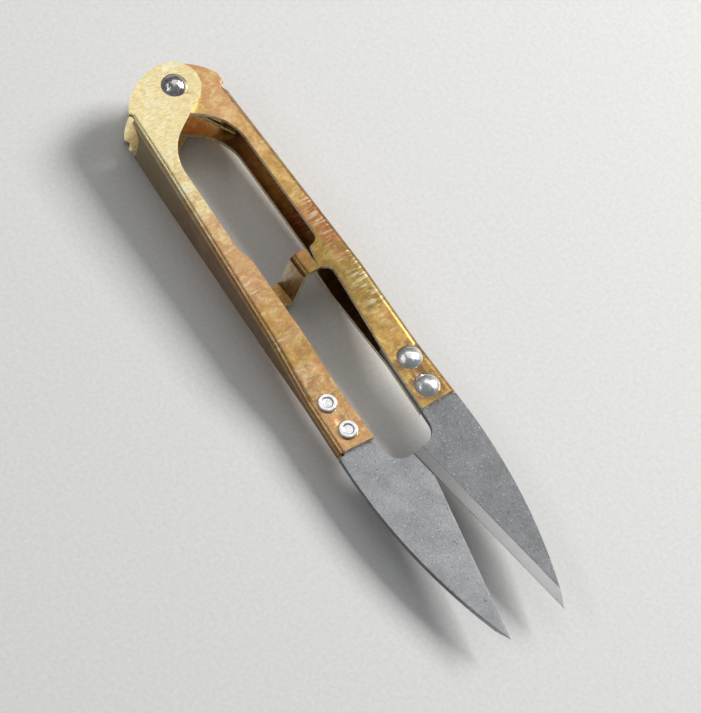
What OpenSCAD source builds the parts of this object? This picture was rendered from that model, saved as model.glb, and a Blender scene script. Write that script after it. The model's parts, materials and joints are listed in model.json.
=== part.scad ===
// Spring-loaded thread snips: two folded sheet-steel handles that turn on one
// rivet, each with a bevelled blade riveted between its flanges.
// Millimetres. Origin: on the table, under the middle of the snips.
// +X runs from the pivot to the blade tips, +Y to the inner handle, +Z up.
// Drawn at rest: the spring holds the handles open. Positions in the sections
// below are measured from the pivot axis and from the plane where the blades
// slide, and those across a handle from its own centre line.

/* [Sheet] */
// Thickness of the folded handle sheet
sheet = 0.8; // [0.6:0.05:0.9]
// Outside radius of the folds
fold_r = 1.2; // [0.9:0.1:1.4]
// Play between the nested ears
ear_play = 0.05; // [0.03:0.01:0.1]

/* [Handles] */
// Angle between each handle's web and the X axis
lean = 2.1; // [1.8:0.1:2.6]
// Distance from the centre line to the outside of a web
web_y = 8.3; // [8:0.1:8.8]
// Distance from the pivot axis to the blade end of a handle
arm_len = 65.6; // [65:0.1:66]
// Half the height over the inner handle's ears
ear_z = 3.65; // [3.35:0.1:3.85]
// Where the inner handle starts to taper
inner_taper_x = 40.6; // [40.6:0.2:43]
// Where the outer handle starts to taper
outer_taper_x = 12; // [8:1:14]
// Where the outer handle's taper steepens
outer_knee_x = 46; // [44:0.5:47]
// Half the outer handle's height where its taper steepens
outer_knee_z = 2.7; // [2.5:0.1:2.9]
// Where both tapers end and the flanges lie on the blade
clamp_x = 56; // [54.5:0.5:56]

/* [Ears] */
// Offset of the pivot from the handles' line of symmetry, towards +Y
pivot_y = 0.85; // [0.6:0.05:1]
// Radius of the ears about the pivot
ear_r = 4.3; // [4:0.1:4.6]
// Centre of the ears' outer curve along the handle
bulge_x = 5.75; // [5.5:0.05:6]
// Centre of the ears' outer curve across the handle
bulge_y = -0.9; // [-1.1:0.05:-0.8]
// Slope of the neck between ear and arm
neck_dir = 54; // [51:1:57]
// Radius of the curve from neck to arm
neck_r = 8.5; // [7.5:0.5:9.5]
// Where the outer handle's folds start
fold_x = 2.7; // [2.5:0.1:3]
// Where the inner handle's folds start
inner_fold_x = 4.4; // [4:0.1:4.6]
// Radius of the relief notch at the start of each fold
relief_r = 0.7; // [0.5:0.1:0.8]
// Rear edge of the webs, halfway between the flanges
web_x = 5.1; // [5:0.1:5.6]
// Radius from that edge into the folds
web_r = 2; // [1.5:0.1:2]

/* [Flanges] */
// Inner edge of the flanges just past the neck
edge_neck_y = 5.5; // [5.3:0.1:5.7]
// Inner edge of the flanges before the step
edge_waist_y = 4.9; // [4.7:0.1:5.1]
// Inner edge of the flanges after the step
edge_step_y = 3.9; // [3.7:0.1:4.1]
// Inner edge of the flanges at the blade end
edge_end_y = 1.95; // [1.8:0.05:2.1]
// Where the step in the outer handle's inner edge starts
step_x = 29; // [28:0.5:29.5]
// Length of the step
step_len = 3.4; // [2.8:0.2:4]

/* [Stop tab] */
// Start of the tab along its handle
tab_x = 34.3; // [34:0.1:34.6]
// Width of the tab
tab_w = 3.9; // [3.6:0.1:4]
// Root fillet radius
tab_root_r = 2; // [1.8:0.1:2.1]
// Outside of the tab's first fold, from the handle's centre line
tab_fold_y = -0.75; // [-0.8:0.05:-0.5]
// Lean of the tab's wall from upright
tab_lean = 10; // [8:0.5:11]
// Upper face of the tab's foot
foot_z = -3.6; // [-3.7:0.05:-3.55]
// Free end of the foot
foot_y = -6.2; // [-6.4:0.1:-5.6]

/* [Blades] */
// Blade thickness
blade_t = 1.1; // [1:0.05:1.2]
// Gap between the sliding faces
blade_gap = 0.02; // [0.02:0.01:0.06]
// Distance from the pivot axis to the tips
tip_x = 103.5; // [102:0.5:105]
// Tip, from the handle's centre line
tip_y = 1.1; // [1:0.05:1.3]
// Distance from the pivot axis to the heels
heel_x = 70.6; // [70.2:0.1:71]
// Upper blade's heel, from the handle's centre line
heel_y = -2.9; // [-3.1:0.1:-2.7]
// Lower blade's heel, from the handle's centre line
lower_heel_y = -3.8; // [-4:0.1:-2.7]
// Radius of the notch behind the heel
notch_r = 3; // [2.8:0.1:3.2]
// Upper end of the notch
notch_y = 1.75; // [1.65:0.05:1.85]
// Highest point of the back, from the handle's centre line
back_y = 8.25; // [8.15:0.05:8.3]
// Width of the bevel
bevel_w = 1.35; // [1.1:0.05:1.6]
// Thickness left at the cutting edge
edge_t = 0.08; // [0.05:0.01:0.15]
// Rear end of the tang
tang_x = 53.6; // [53:0.1:54.2]
// Side gap between tang and web
tang_gap = 0.15; // [0.1:0.05:0.3]

/* [Blade rivets] */
// Rear rivet along the handle
rivet_a_x = 57.5; // [57.1:0.1:57.9]
// Rear rivet across the handle
rivet_a_y = 5.4; // [5.2:0.1:5.5]
// Front rivet along the handle
rivet_b_x = 62.8; // [62.5:0.1:63]
// Front rivet across the handle
rivet_b_y = 4.9; // [4.7:0.1:5.1]
// Shank radius
rivet_r = 1; // [0.9:0.05:1.1]
// Radius of the domed head
rivet_head_r = 2.05; // [1.9:0.05:2.2]
// Height of the domed head
rivet_head_h = 1; // [0.8:0.05:1.1]
// Radius of the flattened tail
rivet_tail_r = 1.55; // [1.4:0.05:1.7]
// Height of the flattened tail
rivet_tail_h = 0.45; // [0.35:0.05:0.55]

/* [Pivot] */
// Shank radius
pivot_r = 1.45; // [1.3:0.05:1.5]
// Radial play of the turning ears on the shank
pivot_play = 0.04; // [0.02:0.01:0.08]
// Radius of the domed head
pivot_head_r = 2.1; // [2.05:0.05:2.4]
// Height of the domed head
pivot_head_h = 1.1; // [0.9:0.1:1.3]
// Radius of the flattened tail
pivot_tail_r = 2.1; // [2.05:0.05:2.4]
// Height of the flattened tail
pivot_tail_h = 0.7; // [0.5:0.1:0.9]

/* [Spring] */
// Wire radius
wire_r = 0.4; // [0.35:0.01:0.41]
// Radius of the coil's centre line
coil_r = 2; // [1.98:0.01:2.1]
// Full turns besides the part turn between the legs
coil_turns = 5; // [3:1:5]
// Level part of each leg, next to the coil
leg_level = 1.8; // [1.6:0.1:2.2]
// Where the legs bear on the webs
leg_x = 9.1; // [8.8:0.1:10]
// Distance of the legs' ends from the sliding plane
leg_z = 2.3; // [1.5:0.1:2.3]

/* [Hidden] */
$fn = 48;
eps = 0.01;
far = 200;
arc_steps = 10;
fold_overlap = 0.1;
shoulder_gap = 0.3;
tail_bevel = 0.15;
tail_rim = 0.6;
dish_z = 0.2;
spring_clear = 0.03;

// Levels. Upper blade above the sliding plane, lower blade below it.
half_gap = blade_gap / 2;
inner_top = half_gap + blade_t + sheet;
inner_bot = half_gap - sheet;
outer_ear_z = ear_z + ear_play + sheet;

// Height profiles as [x, z] corners, from the ears to the blade end
inner_upper = [[inner_taper_x, ear_z], [clamp_x, inner_top]];
inner_lower = [[inner_taper_x, ear_z], [clamp_x, -inner_bot]];
outer_upper = [[outer_taper_x, outer_ear_z], [outer_knee_x, outer_knee_z], [clamp_x, -inner_bot]];
outer_lower = [[outer_taper_x, outer_ear_z], [outer_knee_x, outer_knee_z], [clamp_x, inner_top]];

rivets = [[rivet_a_x, rivet_a_y], [rivet_b_x, rivet_b_y]];

// Points of an arc about c from angle a0 to a1
function arc(c, r, a0, a1, n = arc_steps) =
    [for (i = [0:n]) let (a = a0 + (a1 - a0) * i / n) c + r * [cos(a), sin(a)]];

function slope(p, q) = atan2(p[1] - q[1], q[0] - p[0]);

// Ear and neck outline
bulge_c = [bulge_x, bulge_y];
neck_n = neck_dir - 90;
neck_side = [cos(neck_n), sin(neck_n)];
function neck_x(ear) = (ear_r + neck_r + neck_side * ear - neck_side[1] * (edge_neck_y - neck_r)) / neck_side[0];
function ear_outline(ear) = let (
        off = bulge_c - ear,
        turn = atan2(off[1], off[0]),
        bulge_r = ear_r + norm(off),
        bulge_end = 180 - asin((web_y - bulge_c[1]) / bulge_r))
    concat(
        arc([neck_x(ear), edge_neck_y - neck_r], neck_r, 90, neck_n + 180),
        arc(ear, ear_r, neck_n, turn - 180, 2 * arc_steps),
        arc(bulge_c, bulge_r, turn + 180, bulge_end));

// Step in the inner edge of the flanges, a half cosine
step_y = edge_step_y - edge_waist_y;
function step_outline(x) = [for (i = [arc_steps:-1:0]) let (u = i / arc_steps)
    [x + step_len * u, edge_waist_y + step_y * (1 - cos(180 * u)) / 2]];

function handle_outline(ear, step_from) =
    concat([[arm_len, web_y], [arm_len, edge_end_y]], step_outline(step_from), ear_outline(ear));

// Centre of each handle's ears, in that handle's own directions
inner_ear = pivot_y * [sin(lean), cos(lean)];
outer_ear = -inner_ear;

// Corners of the inside face of a flange, one sheet thickness in
function inset(p) = [for (i = [0:len(p) - 1])
    let (a = i == 0 ? 0 : slope(p[i - 1], p[i]), b = i == len(p) - 1 ? 0 : slope(p[i], p[i + 1]))
    [p[i][0] - sheet * tan((a + b) / 2), p[i][1] - sheet]];

function flip_z(p) = [for (i = [len(p) - 1:-1:0]) [p[i][0], -p[i][1]]];

// Prism between two flange profiles, reaching from y towards -Y
module between(upper, lower, y) {
    outline = concat([[-far, upper[0][1]]], upper, [[far, upper[len(upper) - 1][1]],
        [far, lower[0][1]]], lower, [[-far, lower[len(lower) - 1][1]]]);
    translate([0, y, 0]) rotate([90, 0, 0]) linear_extrude(far) polygon(outline);
}

// Rounds the fold under one profile's edge, from point a to point b and on by run_on
module round_fold(a, b, run_on) {
    translate([a[0], web_y, a[1]])
        rotate([0, slope(a, b), 0])
            translate([-fold_overlap, 0, 0])
                rotate([90, 0, 90])
                    linear_extrude(norm(b - a) + run_on + 2 * fold_overlap)
                        translate([-fold_r, -fold_r])
                            difference() {
                                square(2 * fold_r);
                                circle(fold_r);
                            }
}

// Rounds a whole fold. Where the profile turns up, the steeper cut runs on past the turn
module round_folds(p, start) {
    last = len(p) - 1;
    corners = concat([[start - relief_r, p[0][1]]], p, [[arm_len + fold_r, p[last][1]]]);
    slopes = concat([for (i = [0:last + 1]) slope(corners[i], corners[i + 1])], 0);
    for (i = [0:last + 1])
        round_fold(corners[i], corners[i + 1], fold_r * tan(max(0, slopes[i] - slopes[i + 1])));
}

// One folded handle on the +Y side, before its bores. Its folds begin at start, and the step in
// its inner edge at step_from
module channel(ear, upper, lower, start, step_from) {
    difference() {
        intersection() {
            between(upper, flip_z(lower), web_y);
            translate([0, 0, -far / 2]) linear_extrude(far) polygon(handle_outline(ear, step_from));
        }
        round_folds(upper, start);
        mirror([0, 0, 1]) round_folds(lower, start);
        between(inset(upper), flip_z(inset(lower)), web_y - sheet);
        web_start(upper[0][1] - sheet, start);
    }
}

// Takes the web away beside the ears, between flanges z apart from the middle, and notches each fold
module web_start(z, start) {
    outline = concat([[-far, -z]], arc([web_x - web_r, web_r - z], web_r, -90, 0),
        arc([web_x - web_r, z - web_r], web_r, 0, 90), [[-far, z]]);
    translate([0, web_y + sheet, 0]) rotate([90, 0, 0]) linear_extrude(3 * sheet) polygon(outline);
    for (s = [-1, 1])
        translate([start - relief_r, web_y, s * (z + sheet / 2) - sheet])
            cylinder(h = 2 * sheet, r = relief_r);
}

// Bores for the two blade rivets
module rivet_bores() {
    for (p = rivets)
        translate([p[0], p[1], -far / 2]) cylinder(h = far, r = rivet_r);
}

// Root of the stop tab, in the plane of the upper flange
module tab_root() {
    r = tab_root_r;
    x0 = tab_x;
    x1 = tab_x + tab_w;
    y0 = edge_waist_y - eps;
    y1 = edge_step_y - eps;
    outline = concat([[x0 - r, web_y - fold_r], [x0 - r, y0]], arc([x0 - r, y0 - r], r, 90, 0),
        arc([x1 + r, y1 - r], r, 180, 90), [[x1 + r, web_y - fold_r]]);
    translate([0, 0, ear_z - sheet]) linear_extrude(sheet) polygon(outline);
}

// Folded strip: level, down the wall, level again as the foot
module tab_strip() {
    turn = 90 - tab_lean;
    ri = fold_r - sheet;
    upper_c = [tab_fold_y + fold_r * tan(turn / 2), ear_z - fold_r];
    lower_v = foot_z + ri;
    mid_r = (fold_r + ri) / 2;
    run = (upper_c[1] - lower_v + 2 * mid_r * sin(tab_lean)) / cos(tab_lean);
    lower_c = [upper_c[0] - 2 * mid_r * cos(tab_lean) - run * sin(tab_lean), lower_v];
    root_y = edge_step_y - tab_root_r;
    outline = concat([[root_y, ear_z]],
        arc(upper_c, fold_r, 90, 90 + turn), arc(lower_c, ri, -tab_lean, -90),
        [[foot_y, foot_z], [foot_y, foot_z - sheet]],
        arc(lower_c, fold_r, -90, -tab_lean), arc(upper_c, ri, 90 + turn, 90),
        [[root_y, ear_z - sheet]]);
    translate([tab_x, 0, 0]) rotate([90, 0, 90]) linear_extrude(tab_w) polygon(outline);
}

// Blade outline, heel towards -Y. The back is an arc, level above the notch and down to the tip
back_run = [tip_x - heel_x + notch_r, back_y - tip_y];
back_r = back_run * back_run / (2 * back_run[1]);
back_c = [heel_x - notch_r, back_y - back_r];
tip_a = acos(back_run[0] / back_r);
shoulder_x = arm_len + shoulder_gap;
edge_slope = (edge_step_y - edge_end_y) / (arm_len - step_x - step_len);
tang_y = edge_end_y + edge_slope * (arm_len - tang_x);
function blade_outline(heel) = concat(
    [[tang_x, web_y - sheet - tang_gap], [tang_x, tang_y + tang_gap]],
    arc([heel_x - notch_r, notch_y - notch_r], notch_r, 90, 0),
    [[heel_x, heel]],
    arc(back_c, back_r, tip_a, acos((shoulder_x - back_c[0]) / back_r), 2 * arc_steps),
    [[shoulder_x, web_y - sheet - tang_gap]]);

// Blade lying on the sliding plane with its bevel up
module blade(heel) {
    edge_dir = atan2(tip_y - heel, tip_x - heel_x);
    difference() {
        translate([0, 0, half_gap]) linear_extrude(blade_t) polygon(blade_outline(heel));
        translate([heel_x, heel, half_gap + edge_t])
            rotate([0, 0, edge_dir])
                rotate([atan2(blade_t - edge_t, bevel_w), 0, 0])
                    translate([-far / 2, -far / 2, 0]) cube([far, far, far / 2]);
        rivet_bores();
    }
}

// Domed head, flat side at z = 0
module dome(r, h) {
    ball = (r * r + h * h) / (2 * h);
    rotate_extrude()
        intersection() {
            translate([0, h - ball]) circle(ball, $fn = 96);
            square([r, h]);
        }
}

// Flattened tail with a raised rim, hanging from z = 0
module tail(r, h) {
    rotate_extrude()
        polygon([[0, 0], [r, 0], [r, tail_bevel - h], [r - tail_bevel, -h],
            [r - tail_rim, -h], [r - tail_rim - dish_z, dish_z - h], [0, dish_z - h]]);
}

module blade_rivet(p) {
    translate([p[0], p[1], inner_top]) dome(rivet_head_r, rivet_head_h);
    translate([p[0], p[1], inner_bot]) cylinder(h = inner_top - inner_bot, r = rivet_r);
    translate([p[0], p[1], inner_bot]) tail(rivet_tail_r, rivet_tail_h);
}

// Moves the pivot from the axes' crossing to its place above the table
middle_x = (tip_x * cos(lean) - ear_r) / 2;
slide_z = outer_ear_z + pivot_tail_h;

module placed() {
    translate([-middle_x, 0, slide_z]) children();
}

// Places a thing made on the +Y side into the inner or the outer assembly
module inner_side() {
    placed() rotate([0, 0, lean]) children();
}

module outer_side() {
    placed() rotate([180, 0, 0]) rotate([0, 0, lean]) children();
}

module outer_handle() {
    color([0.86, 0.72, 0.42])
        outer_side()
            difference() {
                channel(outer_ear, outer_lower, outer_upper, fold_x, step_x);
                translate([outer_ear[0], outer_ear[1], -far / 2]) cylinder(h = far, r = pivot_r);
                rivet_bores();
            }
}

module inner_handle() {
    color([0.84, 0.68, 0.38])
        inner_side()
            difference() {
                union() {
                    channel(inner_ear, inner_upper, inner_lower, inner_fold_x, tab_x - tab_root_r);
                    tab_root();
                    tab_strip();
                }
                translate([inner_ear[0], inner_ear[1], -far / 2])
                    cylinder(h = far, r = pivot_r + pivot_play);
                rivet_bores();
            }
}

module upper_blade() {
    color([0.62, 0.63, 0.65]) inner_side() blade(heel_y);
}

module lower_blade() {
    color([0.7, 0.71, 0.72]) outer_side() blade(lower_heel_y);
}

module upper_rivet_rear() {
    color([0.82, 0.82, 0.84]) inner_side() blade_rivet(rivets[0]);
}

module upper_rivet_front() {
    color([0.82, 0.82, 0.84]) inner_side() blade_rivet(rivets[1]);
}

module lower_rivet_rear() {
    color([0.82, 0.82, 0.84]) outer_side() blade_rivet(rivets[0]);
}

module lower_rivet_front() {
    color([0.82, 0.82, 0.84]) outer_side() blade_rivet(rivets[1]);
}

module pivot_rivet() {
    color([0.4, 0.4, 0.42]) placed() translate([0, pivot_y, 0]) {
        translate([0, 0, outer_ear_z]) dome(pivot_head_r, pivot_head_h);
        translate([0, 0, -outer_ear_z]) cylinder(h = 2 * outer_ear_z, r = pivot_r);
        translate([0, 0, -outer_ear_z]) tail(pivot_tail_r, pivot_tail_h);
    }
}

// Spring. Each leg crosses over from the far side of the coil, and side 1 is the inner handle's
coil_z = ear_z - sheet - wire_r - spring_clear;
leg_y = web_y - sheet - wire_r - spring_clear;
leg_end = [leg_x * cos(lean) - leg_y * sin(lean), leg_x * sin(lean) + leg_y * cos(lean)];
wire_steps = 160;
wire_sides = 12;

function leg_tip(side) = [leg_end[0], side * leg_end[1], -side * leg_z];

// Angle on the coil where a leg leaves it, and the leg's point where its level part ends
function leave_angle(side) = let (to = [leg_end[0], side * leg_end[1] - pivot_y])
    atan2(to[1], to[0]) - side * acos(coil_r / norm(to));
function coil_point(a, z) = [coil_r * cos(a), pivot_y + coil_r * sin(a), z];
function leg_bend(side) = let (a = leave_angle(side))
    coil_point(a, side * coil_z) + side * leg_level * [-sin(a), cos(a), 0];

coil_sweep = leave_angle(1) - leave_angle(-1) + 360 * (coil_turns + 1);
wire_path = concat([leg_tip(-1), leg_bend(-1)],
    [for (i = [0:wire_steps]) let (u = i / wire_steps)
        coil_point(leave_angle(-1) + coil_sweep * u, coil_z * (2 * u - 1))],
    [leg_bend(1), leg_tip(1)]);
wire_last = len(wire_path) - 1;

function unit(v) = v / norm(v);
function wire_dir(i) = unit(wire_path[i + 1] - wire_path[i]);

// Ring of wire surface points about path point i
function wire_ring(i) =
    let (d = unit(wire_dir(max(i - 1, 0)) + wire_dir(min(i, wire_last - 1))),
         side = unit(cross(d, [0, 0, 1])), up = cross(side, d))
    [for (k = [0:wire_sides - 1]) let (a = 360 * k / wire_sides)
        wire_path[i] + wire_r * (side * cos(a) + up * sin(a))];

module pivot_spring() {
    n = wire_sides;
    points = [for (i = [0:wire_last]) each wire_ring(i)];
    walls = [for (i = [0:wire_last - 1]) for (k = [0:n - 1])
        [i * n + k, (i + 1) * n + k, (i + 1) * n + (k + 1) % n, i * n + (k + 1) % n]];
    caps = [[for (k = [0:n - 1]) k], [for (k = [n - 1:-1:0]) wire_last * n + k]];
    color([0.75, 0.68, 0.35]) placed() polyhedron(points, concat(walls, caps));
}

outer_handle();
inner_handle();
lower_blade();
upper_blade();
lower_rivet_rear();
lower_rivet_front();
upper_rivet_rear();
upper_rivet_front();
pivot_rivet();
pivot_spring();
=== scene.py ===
import json
import math

import bpy
from mathutils import Matrix, Vector


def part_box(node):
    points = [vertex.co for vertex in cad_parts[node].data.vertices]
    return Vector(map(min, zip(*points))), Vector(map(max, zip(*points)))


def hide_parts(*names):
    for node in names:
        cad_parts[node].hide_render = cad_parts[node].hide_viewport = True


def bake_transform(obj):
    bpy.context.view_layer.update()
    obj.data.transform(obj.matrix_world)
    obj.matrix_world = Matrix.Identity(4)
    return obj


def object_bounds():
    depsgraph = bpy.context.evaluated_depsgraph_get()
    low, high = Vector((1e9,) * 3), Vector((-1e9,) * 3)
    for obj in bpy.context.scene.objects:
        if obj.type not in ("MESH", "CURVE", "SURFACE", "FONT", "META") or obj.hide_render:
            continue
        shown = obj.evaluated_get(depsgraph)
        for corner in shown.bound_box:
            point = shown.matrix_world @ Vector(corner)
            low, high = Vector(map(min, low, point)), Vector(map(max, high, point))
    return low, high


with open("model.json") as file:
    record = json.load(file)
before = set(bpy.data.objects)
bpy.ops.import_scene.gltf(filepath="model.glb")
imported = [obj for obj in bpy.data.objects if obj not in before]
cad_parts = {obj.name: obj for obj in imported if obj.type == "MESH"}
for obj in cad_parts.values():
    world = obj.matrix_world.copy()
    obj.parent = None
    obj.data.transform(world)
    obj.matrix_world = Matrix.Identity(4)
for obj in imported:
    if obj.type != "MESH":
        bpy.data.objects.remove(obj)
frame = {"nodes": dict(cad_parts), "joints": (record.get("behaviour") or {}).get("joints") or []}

START_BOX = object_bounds()
MM = 0.001
NODES = frame["nodes"]

# A point on the pivot axis, in the plane where the blades slide
PIVOT = Vector(frame["joints"][0]["pos_m"])
LOW, HIGH = START_BOX
LENGTH = HIGH.x - LOW.x
# Distances along the snips, from the pivot
TIP_X = HIGH.x - PIVOT.x
ARM_LENGTH = 66 * MM
HEEL_X = 70 * MM
# Angle between a handle and the X axis, and the inside of its web from its centre line
LEAN = math.radians(2.1)
WEB_INSIDE = 7.5 * MM
EDGE_MARGIN = 0.05 * MM
# Stain round a rivet, and the band of a handle where comb marks show
STAIN_RADIUS, STAIN_SOFT = 2.4 * MM, 0.9 * MM
MARKS_FROM, MARKS_TO = 5.0 * MM, 8.5 * MM
# Mesh clean-up
WELD_DISTANCE = 1e-6
SHARP_ANGLE = math.radians(32)


# ---------------------------------------------------------------- node helpers

class Graph:
    """Short calls for building one material's nodes."""

    def __init__(self, name):
        self.material = bpy.data.materials.new(name)
        self.material.use_nodes = True
        self.tree = self.material.node_tree
        self.tree.nodes.clear()
        self.shader = self.node("ShaderNodeBsdfPrincipled")
        output = self.node("ShaderNodeOutputMaterial")
        self.tree.links.new(self.shader.outputs[0], output.inputs[0])
        self.place = self.node("ShaderNodeTexCoord").outputs["Object"]

    def node(self, kind, **settings):
        made = self.tree.nodes.new(kind)
        for key, value in settings.items():
            setattr(made, key, value)
        return made

    def feed(self, socket, value):
        if isinstance(value, bpy.types.NodeSocket):
            self.tree.links.new(value, socket)
        else:
            socket.default_value = value

    def math(self, operation, *values, clamp=False):
        made = self.node("ShaderNodeMath", operation=operation, use_clamp=clamp)
        for socket, value in zip(made.inputs, values):
            self.feed(socket, value)
        return made.outputs[0]

    def spot(self, centre, radius, soft):
        """1 inside radius of a point seen from above, falling to 0 over soft."""
        flat = self.node("ShaderNodeVectorMath", operation="MULTIPLY")
        self.feed(flat.inputs[0], self.place)
        flat.inputs[1].default_value = (1, 1, 0)
        apart = self.node("ShaderNodeVectorMath", operation="DISTANCE")
        self.feed(apart.inputs[0], flat.outputs[0])
        apart.inputs[1].default_value = (centre.x, centre.y, 0)
        return self.fall(apart.outputs["Value"], radius, radius + soft)

    def rise(self, value, low, high):
        """0 below low, 1 above high."""
        made = self.node("ShaderNodeMapRange", interpolation_type="SMOOTHSTEP")
        for socket, item in zip(made.inputs, (value, low, high, 0.0, 1.0)):
            self.feed(socket, item)
        return made.outputs[0]

    def fall(self, value, low, high):
        return self.math("SUBTRACT", 1.0, self.rise(value, low, high))

    def noise(self, per_mm, detail=3.0, roughness=0.55, stretch=(1, 1, 1), turn=0.0, warp=0.0):
        """Noise with about per_mm features to a millimetre, centred on 0.5."""
        place = self.node("ShaderNodeMapping", vector_type="POINT")
        self.feed(place.inputs["Vector"], self.place)
        place.inputs["Rotation"].default_value = (0, 0, turn)
        place.inputs["Scale"].default_value = stretch
        made = self.node("ShaderNodeTexNoise")
        self.feed(made.inputs["Vector"], place.outputs[0])
        made.inputs["Scale"].default_value = per_mm / MM
        made.inputs["Detail"].default_value = detail
        made.inputs["Roughness"].default_value = roughness
        made.inputs["Distortion"].default_value = warp
        return made.outputs[0]

    def axis(self, name):
        split = self.node("ShaderNodeSeparateXYZ")
        self.feed(split.inputs[0], self.place)
        return split.outputs[name]

    def ramp(self, value, *stops):
        made = self.node("ShaderNodeValToRGB")
        self.feed(made.inputs[0], value)
        marks = made.color_ramp.elements
        while len(marks) < len(stops):
            marks.new(0.5)
        for mark, (where, color) in zip(marks, stops):
            mark.position = where
            mark.color = (*color, 1)
        return made.outputs[0]

    def mix(self, share, a, b, blend="MIX"):
        made = self.node("ShaderNodeMix", data_type="RGBA", blend_type=blend)
        self.feed(made.inputs[0], share)
        for socket, value in ((made.inputs[6], a), (made.inputs[7], b)):
            self.feed(socket, (*value, 1) if isinstance(value, tuple) else value)
        return made.outputs[2]

    def finish(self, color, roughness, height=None, depth=0.02 * MM, metallic=1.0):
        self.feed(self.shader.inputs["Base Color"], color)
        self.feed(self.shader.inputs["Roughness"], roughness)
        self.shader.inputs["Metallic"].default_value = metallic
        if height is not None:
            bump = self.node("ShaderNodeBump")
            bump.inputs["Strength"].default_value = 1.0
            bump.inputs["Distance"].default_value = depth
            self.feed(bump.inputs["Height"], height)
            self.feed(self.shader.inputs["Normal"], bump.outputs[0])
        return self.material


# ---------------------------------------------------------------- materials

CREAM = (0.88, 0.78, 0.55)
PEACH = (0.66, 0.44, 0.26)
GOLD = (0.55, 0.39, 0.16)
OLIVE = (0.34, 0.26, 0.10)
COPPER = (0.42, 0.21, 0.11)
BROWN = (0.20, 0.12, 0.07)


def gold_plate(name, side, stops, stains):
    """Iridescent zinc plating. side is 1 for the inner handle and -1 for the outer one."""
    g = Graph(name)
    along = g.rise(g.math("SUBTRACT", g.axis("X"), PIVOT.x), 0.0, ARM_LENGTH)
    wander = g.math("MULTIPLY_ADD", g.noise(0.16, 4, 0.6, warp=0.8), 0.9, -0.45)
    tone = g.ramp(g.math("ADD", along, wander, clamp=True), *stops)
    blotch = g.ramp(g.noise(0.45, 5, 0.65, warp=1.2), (0.35, COPPER), (0.5, GOLD), (0.62, CREAM))
    color = g.mix(0.42, tone, blotch, "OVERLAY")
    # Comb-like cross marks, strongest near the fold
    across = g.math("ABSOLUTE", g.axis("Y"))
    outer = g.rise(across, MARKS_FROM, MARKS_TO)
    mid_length = g.math("MULTIPLY", g.rise(along, 0.15, 0.5), g.fall(along, 0.82, 0.95))
    marks = g.noise(2.3, 2, 0.5, (1, 0.13, 1), side * LEAN)
    marks = g.rise(marks, 0.5, 0.6)
    patchy = g.rise(g.noise(0.3, 2), 0.4, 0.6)
    marks = g.math("MULTIPLY", g.math("MULTIPLY", marks, patchy), g.math("MULTIPLY", outer, mid_length))
    color = g.mix(g.math("MULTIPLY", marks, 0.6), color, CREAM)
    # Fine grain everywhere, dark specks, and brown stains beside the rivets
    grain = g.noise(3.2, 4, 0.7, (1, 0.35, 1), side * LEAN)
    grain_tone = g.ramp(grain, (0.3, (0.22, 0.17, 0.1)), (0.66, (1, 1, 1)))
    color = g.mix(0.4, color, grain_tone, "MULTIPLY")
    specks = g.rise(g.noise(2.2, 3, 0.75), 0.66, 0.74)
    color = g.mix(g.math("MULTIPLY", specks, 0.5), color, BROWN)
    for place in stains:
        stain = g.spot(place, STAIN_RADIUS, STAIN_SOFT)
        dirt = g.math("MULTIPLY", stain, g.rise(g.noise(0.9, 3), 0.36, 0.6))
        color = g.mix(g.math("MULTIPLY", dirt, 0.75), color, BROWN)
    # Faces turned to +Y or -Y are painted darker. This stands for the dark surroundings that
    # a web reflects on a dark table, and is not a property of the plating
    facing = g.node("ShaderNodeSeparateXYZ")
    g.feed(facing.inputs[0], g.node("ShaderNodeTexCoord").outputs["Normal"])
    upright = g.rise(g.math("ABSOLUTE", facing.outputs["Y"]), 0.55, 0.95)
    color = g.mix(g.math("MULTIPLY", upright, 0.72), color, BROWN)
    rough = g.math("MULTIPLY_ADD", g.noise(0.8, 4, 0.6), 0.26, 0.2)
    height = g.math("ADD", g.math("MULTIPLY", grain, 0.5), g.math("MULTIPLY", marks, -0.8))
    return g.finish(color, rough, height, 0.012 * MM)


def cut_edge(name):
    """Sheared sheet edge, brighter than the faces, with fine lines across the thickness."""
    g = Graph(name)
    streak = g.noise(2.5, 3, 0.6, (1, 1, 0.15))
    color = g.ramp(streak, (0.3, (0.72, 0.60, 0.38)), (0.6, (0.98, 0.92, 0.76)))
    return g.finish(color, g.math("MULTIPLY_ADD", streak, 0.2, 0.22), streak, 0.01 * MM)


def blade_steel(name, light):
    """Satin tumbled steel with fine pits. Darker than bare steel, to give a mid grey in soft light."""
    g = Graph(name)
    cloud = g.noise(0.25, 4, 0.6)
    fine = g.noise(4.5, 4, 0.75)
    # light scales the colour: one blade is painted lighter and the other darker, as painted light and
    # shade for how each tilts towards the lamps
    level = tuple(light * v for v in (0.17, 0.175, 0.185))
    high = tuple(min(1.0, light * v) for v in (0.33, 0.335, 0.345))
    clouded = g.ramp(cloud, (0.3, level), (0.7, high))
    color = g.mix(0.45, clouded, g.ramp(fine, (0.35, level), (0.62, high)))
    pits = g.rise(g.noise(2.6, 3, 0.7), 0.6, 0.68)
    glints = g.rise(g.noise(3.4, 2, 0.8, warp=0.4), 0.6, 0.68)
    color = g.mix(g.math("MULTIPLY", pits, 0.6), color, (0.06, 0.06, 0.065))
    color = g.mix(g.math("MULTIPLY", glints, 0.45), color, (0.62, 0.62, 0.63))
    rough = g.math("MULTIPLY_ADD", fine, 0.25, 0.26)
    return g.finish(color, rough, g.math("SUBTRACT", fine, pits), 0.016 * MM)


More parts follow.
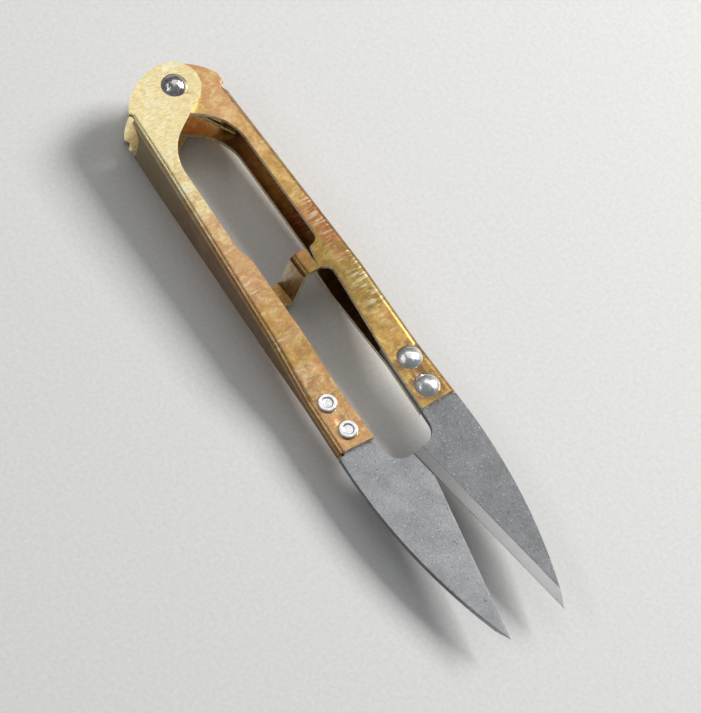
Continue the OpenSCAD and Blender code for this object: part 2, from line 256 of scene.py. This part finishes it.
def ground_bevel(name):
    """Ground bevel: lines across the edge, darker at the heel and bright at the tip."""
    g = Graph(name)
    along = g.rise(g.math("SUBTRACT", g.axis("X"), PIVOT.x), HEEL_X, TIP_X)
    lines = g.noise(5.0, 3, 0.6, (1, 0.06, 1), 0.12)
    tone = g.ramp(g.math("MULTIPLY_ADD", lines, 0.3, g.math("MULTIPLY", along, 0.8)),
                  (0.1, (0.30, 0.29, 0.28)), (0.45, (0.62, 0.62, 0.61)), (0.9, (0.90, 0.90, 0.89)))
    return g.finish(tone, g.math("MULTIPLY_ADD", lines, 0.2, 0.24), lines, 0.006 * MM)


def rivet_steel(name):
    """Bright soft steel, dented by the riveting tool."""
    g = Graph(name)
    dents = g.noise(0.9, 2, 0.45)
    fine = g.noise(5.0, 3, 0.7)
    color = g.ramp(g.math("MULTIPLY_ADD", fine, 0.4, g.math("MULTIPLY", dents, 0.6)),
                   (0.32, (0.72, 0.71, 0.70)), (0.6, (0.97, 0.97, 0.97)))
    return g.finish(color, g.math("MULTIPLY_ADD", fine, 0.2, 0.2), dents, 0.14 * MM)


def pivot_chrome(name):
    """Dark polished rivet with faint wear marks."""
    g = Graph(name)
    wear = g.noise(1.4, 4, 0.6, warp=0.6)
    color = g.ramp(wear, (0.35, (0.44, 0.41, 0.41)), (0.62, (0.80, 0.77, 0.78)))
    return g.finish(color, g.math("MULTIPLY_ADD", wear, 0.16, 0.08), wear, 0.07 * MM)


def spring_plate(name):
    """Yellow-green plated wire with drawing marks along it."""
    g = Graph(name)
    drawn = g.noise(2.0, 3, 0.6, (0.15, 1, 1))
    color = g.ramp(drawn, (0.3, (0.48, 0.42, 0.13)), (0.6, (0.88, 0.80, 0.42)))
    return g.finish(color, g.math("MULTIPLY_ADD", drawn, 0.2, 0.2), drawn, 0.01 * MM)


def floor_paper(name):
    """Pale matt paper."""
    g = Graph(name)
    fibre = g.noise(1.5, 4, 0.6)
    color = g.ramp(fibre, (0.3, (0.70, 0.70, 0.69)), (0.7, (0.78, 0.78, 0.77)))
    return g.finish(color, 0.7, fibre, 0.02 * MM, metallic=0.0)


# ---------------------------------------------------------------- geometry helpers

def crisp(obj, width, segments=2):
    """Joins the imported faces, rounds the sharp edges a little and keeps flat faces flat."""
    weld = obj.modifiers.new("weld", "WELD")
    weld.merge_threshold = WELD_DISTANCE
    bevel = obj.modifiers.new("bevel", "BEVEL")
    bevel.width = width
    bevel.segments = segments
    bevel.limit_method = "ANGLE"
    bevel.angle_limit = SHARP_ANGLE
    bevel.use_clamp_overlap = True
    bevel.miter_outer = "MITER_ARC"
    shade = obj.modifiers.new("shade", "WEIGHTED_NORMAL")
    shade.keep_sharp = False
    shade.weight = 60
    obj.data.shade_smooth()


def dress(node, materials, pick=None):
    """Gives a CAD node its materials. pick(polygon) says which of them a face takes."""
    obj = NODES[node]
    obj.data.materials.clear()
    for material in materials:
        obj.data.materials.append(material)
    for face in obj.data.polygons:
        face.material_index = pick(face) if pick else 0
    return obj


def own(point, side):
    """A point in a handle's own directions: along it, and out from the line of symmetry."""
    x, y = point.x - PIVOT.x, side * point.y
    return x * math.cos(LEAN) + y * math.sin(LEAN), y * math.cos(LEAN) - x * math.sin(LEAN)


def centre(node):
    low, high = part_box(node)
    return (low + high) / 2


# ---------------------------------------------------------------- the sub-parts

def build_handle(node, side, plate, edge):
    """Folded handle: plated faces, bare sheared edges."""
    def pick(face):
        out = own(face.center, side)[1]
        upright = abs(face.normal.z) < 0.35
        return 1 if upright and out < WEB_INSIDE - EDGE_MARGIN else 0

    obj = dress(node, [plate, edge], pick)
    crisp(obj, 0.09 * MM)


def build_blade(node, steel, bevel):
    """Flat blade with one ground bevel."""
    def pick(face):
        return 1 if 0.3 < abs(face.normal.z) < 0.97 else 0

    crisp(dress(node, [steel, bevel], pick), 0.05 * MM)


def build_rivet(node, steel):
    crisp(dress(node, [steel], None), 0.08 * MM, 3)


def build_spring(plate):
    """A copy of the CAD wire, shown in place of the hidden CAD node."""
    mesh = NODES["pivot_spring"].data.copy()
    mesh.materials.clear()
    mesh.materials.append(plate)
    wire = bpy.data.objects.new("spring_wire", mesh)
    wire.matrix_world = NODES["pivot_spring"].matrix_world.copy()
    bpy.context.scene.collection.objects.link(wire)
    crisp(wire, 0.06 * MM)
    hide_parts("pivot_spring")
    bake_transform(wire)


# ---------------------------------------------------------------- stage

VIEW_AZIMUTH = math.radians(42.18)
VIEW_ELEVATION = math.radians(61.13)
VIEW_ROLL = math.radians(-16.14)
VIEW_DISTANCE = 5.68 * LENGTH
VIEW_TARGET = Vector((PIVOT.x + 0.503 * TIP_X, 0.4 * MM, PIVOT.z))
LENS = 202.0


def build_camera():
    back = Vector((math.sin(VIEW_AZIMUTH) * math.cos(VIEW_ELEVATION),
                   -math.cos(VIEW_AZIMUTH) * math.cos(VIEW_ELEVATION), math.sin(VIEW_ELEVATION)))
    right = Vector((math.cos(VIEW_AZIMUTH), math.sin(VIEW_AZIMUTH), 0))
    level_up = back.cross(right)
    up = level_up * math.cos(VIEW_ROLL) + right * math.sin(VIEW_ROLL)
    side = up.cross(back)
    data = bpy.data.cameras.new("camera")
    data.lens = LENS
    data.clip_start, data.clip_end = 0.01, 20
    camera = bpy.data.objects.new("camera", data)
    turn = Matrix((side, up, back)).transposed().to_4x4()
    camera.matrix_world = Matrix.Translation(VIEW_TARGET + back * VIEW_DISTANCE) @ turn
    bpy.context.scene.collection.objects.link(camera)
    bpy.context.scene.camera = camera


def build_floor():
    size = 30 * LENGTH
    mesh = bpy.data.meshes.new("floor")
    corners = [(-size, -size, 0), (size, -size, 0), (size, size, 0), (-size, size, 0)]
    mesh.from_pydata(corners, [], [(0, 1, 2, 3)])
    floor = bpy.data.objects.new("floor", mesh)
    floor.data.materials.append(floor_paper("floor_paper"))
    bpy.context.scene.collection.objects.link(floor)


def area_light(name, place, size, radiance, color=(1, 1, 1), aim=None):
    """Soft light, placed from the pivot. It faces aim, or straight down without one."""
    data = bpy.data.lights.new(name, "AREA")
    data.shape = "RECTANGLE"
    data.size, data.size_y = size
    data.energy = radiance * math.pi * size[0] * size[1]
    data.color = color
    light = bpy.data.objects.new(name, data)
    light.location = Vector((PIVOT.x, 0, PIVOT.z)) + Vector(place)
    toward = light.location - aim if aim else Vector((0, 0, 1))
    light.rotation_mode = "QUATERNION"
    light.rotation_quaternion = toward.to_track_quat("Z", "Y")
    bpy.context.scene.collection.objects.link(light)


def build_lights():
    area_light("ear_panel", (-0.27, 0.20, 0.50), (0.20, 0.45), 1.3, (1.0, 0.99, 0.96))
    area_light("blade_panel", (-0.07, 0.20, 0.50), (0.20, 0.45), 0.62, (0.98, 0.99, 1.0))
    area_light("window", (0.10, 0.60, 0.50), (0.30, 0.30), 22, (1.0, 0.99, 0.97), VIEW_TARGET)
    area_light("strip", (-0.15, -0.37, 0.43), (0.50, 0.04), 5, (1.0, 0.99, 0.97), VIEW_TARGET)
    world = bpy.data.worlds.new("studio")
    world.use_nodes = True
    back = world.node_tree.nodes["Background"]
    back.inputs[0].default_value = (0.80, 0.82, 0.85, 1)
    back.inputs[1].default_value = 0.22
    bpy.context.scene.world = world
    bpy.context.scene.view_settings.view_transform = "Standard"


def main():
    stains = [centre(node) for node in ("upper_rivet_rear", "upper_rivet_front")]
    inner_tones = ((0.0, PEACH), (0.25, GOLD), (0.45, COPPER), (0.6, OLIVE), (0.8, OLIVE), (0.95, GOLD))
    # The outer handle is painted lighter at the ear end and in the middle: partly the plating's own
    # tone, partly a painted sheen standing for the overhead panel's reflection on its flat tops
    outer_tones_and_sheen = ((0.0, CREAM), (0.12, CREAM), (0.3, PEACH), (0.6, PEACH), (0.8, GOLD), (0.97, PEACH))
    inner = gold_plate("plate_inner", 1, inner_tones, stains)
    outer = gold_plate("plate_outer", -1, outer_tones_and_sheen, [])
    edge = cut_edge("cut_edge")
    build_handle("inner_handle", 1, inner, edge)
    build_handle("outer_handle", -1, outer, edge)
    bevel = ground_bevel("ground_bevel")
    # The lower blade is painted lighter (1.15) and the upper darker (0.8): painted light and shade for
    # their tilt
    build_blade("lower_blade", blade_steel("steel_lower_painted_light", 1.15), bevel)
    build_blade("upper_blade", blade_steel("steel_upper_painted_shade", 0.8), bevel)
    steel = rivet_steel("rivet_steel")
    for node in ("lower_rivet_rear", "lower_rivet_front", "upper_rivet_rear", "upper_rivet_front"):
        build_rivet(node, steel)
    build_rivet("pivot_rivet", pivot_chrome("pivot_chrome"))
    build_spring(spring_plate("spring_plate"))
    build_floor()
    build_lights()
    build_camera()


main()
